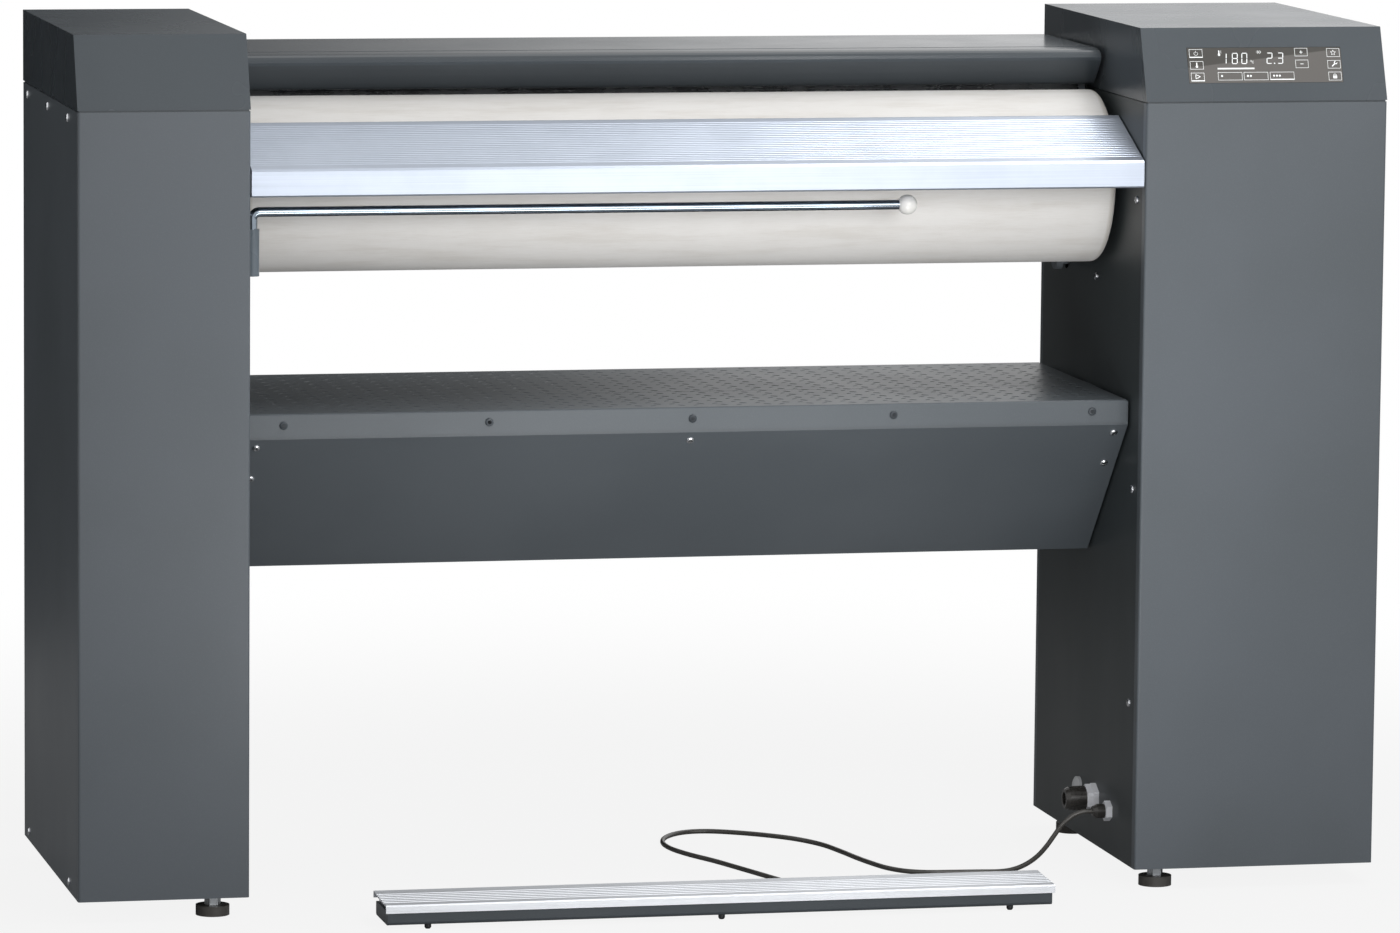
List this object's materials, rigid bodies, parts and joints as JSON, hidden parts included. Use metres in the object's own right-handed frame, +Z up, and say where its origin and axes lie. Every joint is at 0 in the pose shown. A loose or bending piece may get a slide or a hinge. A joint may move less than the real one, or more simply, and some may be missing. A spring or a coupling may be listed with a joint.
{
  "type": "flatwork ironer",
  "caption": "Rotary flatwork ironer: a padded roller between two columns under a heated shoe, with a feed table, a linen rod, a shelf and a foot-switch bar on a cable.",
  "frame": {"origin": "centre of the bounding box's base, on the floor", "axes": "+X along the roller towards the control column, +Y from front to back, +Z up"},
  "size_m": [1.5902, 0.5883, 1.042],
  "materials": {
    "panel_paint": "satin slate grey powder coat",
    "inner_paint": "satin slate grey powder coat",
    "cap_paint": "satin slate grey powder coat",
    "hood_paint": "satin slate grey enamel",
    "shelf_paint": "embossed, satin powder coat",
    "frame_steel": "zinc-plated sheet",
    "bearing_steel": "machined steel",
    "bush_bronze": "sintered bronze",
    "screw_steel": "plated pan heads",
    "table_aluminium": "anodised extrusion",
    "tread_aluminium": "ribbed anodised extrusion",
    "shoe_aluminium": "polished cast plate",
    "heater_sheath": "heat-tinted sheath",
    "motor_paint": "cast housing, painted",
    "rod_chrome": "polished chrome",
    "socket_paint": "gloss dark grey",
    "ball_plastic": "white",
    "display_glass": "back-printed touch glass",
    "board_laminate": "circuit board",
    "gland_plastic": "black and white",
    "plug_plastic": "grey",
    "channel_paint": "dark grey",
    "black_plastic": "black",
    "cable_rubber": "round sheathed cable",
    "bar_rubber": "moulded",
    "foot_rubber": "rubber pad under a steel stud",
    "roller_cotton": "woven ironing cloth",
    "padding_wool": "needled felt"
  },
  "bodies": {
    "root": {"left_front_panel": "panel_paint", "left_rear_panel": "panel_paint", "left_inner_panel": "inner_paint", "left_outer_panel": "panel_paint", "left_cap": "cap_paint", "left_base": "frame_steel", "right_front_panel": "panel_paint", "right_rear_panel": "panel_paint", "right_inner_panel": "inner_paint", "right_outer_panel": "panel_paint", "right_cap": "cap_paint", "right_base": "frame_steel", "left_frame": "frame_steel", "right_frame": "frame_steel", "roller_bearings": "bearing_steel", "pivot_bushes": "bush_bronze", "panel_screws": "screw_steel", "cross_tube": "frame_steel", "shelf_plate": "shelf_paint", "beam_front": "panel_paint", "beam_rear": "panel_paint", "feed_table": "table_aluminium", "table_brackets": "frame_steel", "rod_socket": "socket_paint", "display_glass": "display_glass", "control_board": "board_laminate", "control_box": "frame_steel", "gearmotor": "motor_paint", "actuator": "motor_paint", "mains_gland": "gland_plastic", "switch_gland": "gland_plastic", "blanking_plug": "plug_plastic", "bar_channel": "channel_paint", "bar_pads": "bar_rubber", "tread_springs": "bearing_steel", "bar_switch": "black_plastic", "cable_relief": "black_plastic", "switch_cable": "cable_rubber"},
    "roller": {"roller_tube": "bearing_steel", "roller_shaft": "bearing_steel", "roller_padding": "padding_wool", "roller_cloth": "roller_cotton", "roller_gear": "bearing_steel"},
    "pinion": {"drive_pinion": "bearing_steel"},
    "shoe": {"shoe_plate": "shoe_aluminium", "heating_rods": "heater_sheath", "insulation": "padding_wool", "shoe_arms": "frame_steel", "hood_top": "hood_paint", "hood_rear": "panel_paint", "hood_cheeks": "panel_paint"},
    "guard": {"finger_guard": "hood_paint"},
    "push_rod": {"actuator_rod": "bearing_steel"},
    "linen_arm": {"linen_rod": "rod_chrome", "rod_ball": "ball_plastic"},
    "tread": {"foot_tread": "tread_aluminium"},
    "foot_lf": {"left_front_foot": "foot_rubber"},
    "foot_lr": {"left_rear_foot": "foot_rubber"},
    "foot_rf": {"right_front_foot": "foot_rubber"},
    "foot_rr": {"right_rear_foot": "foot_rubber"}
  },
  "joints": [
    {"name": "roller_spin", "type": "hinge", "parent": "root", "child": "roller", "pos_m": [0, 0.0155, 0.851], "axis": [1, 0, 0], "continuous": true},
    {"name": "pinion_spin", "type": "hinge", "parent": "root", "child": "pinion", "pos_m": [0, 0.0155, 0.731], "axis": [1, 0, 0], "continuous": true},
    {"name": "shoe_close", "type": "hinge", "parent": "root", "child": "shoe", "pos_m": [0, 0.1675, 0.737], "axis": [1, 0, 0], "range_deg": [0, 1.8]},
    {"name": "push_rod_stroke", "type": "slide", "parent": "root", "child": "push_rod", "axis": [0, 0, 1], "range_m": [0, 0.00167]},
    {"name": "guard_push", "type": "hinge", "parent": "shoe", "child": "guard", "pos_m": [0, 0.0518, 0.9975], "axis": [1, 0, 0], "range_deg": [0, 4], "stiffness_Nm_per_rad": 10, "springref_deg": -8.59},
    {"name": "linen_rod_swing", "type": "hinge", "parent": "root", "child": "linen_arm", "pos_m": [-0.5809, -0.1425, 0.8326], "axis": [0, 0, -1], "range_deg": [0, 90]},
    {"name": "tread_press", "type": "hinge", "parent": "root", "child": "tread", "pos_m": [0, -0.2144, 0.0193], "axis": [1, 0, 0], "range_deg": [0, 2.5], "stiffness_Nm_per_rad": 12, "springref_deg": -5.73},
    {"name": "foot_lf_turn", "type": "hinge", "parent": "root", "child": "foot_lf", "pos_m": [-0.627, -0.1425, 0], "axis": [0, 0, 1], "continuous": true},
    {"name": "foot_lr_turn", "type": "hinge", "parent": "root", "child": "foot_lr", "pos_m": [-0.627, 0.2365, 0], "axis": [0, 0, 1], "continuous": true},
    {"name": "foot_rf_turn", "type": "hinge", "parent": "root", "child": "foot_rf", "pos_m": [0.53, -0.1425, 0], "axis": [0, 0, 1], "continuous": true},
    {"name": "foot_rr_turn", "type": "hinge", "parent": "root", "child": "foot_rr", "pos_m": [0.53, 0.2365, 0], "axis": [0, 0, 1], "continuous": true}
  ],
  "couplings": [
    {"joint": "pinion_spin", "follows": "roller_spin", "ratio": -3},
    {"joint": "push_rod_stroke", "follows": "shoe_close", "m_per_rad": 0.05}
  ]
}
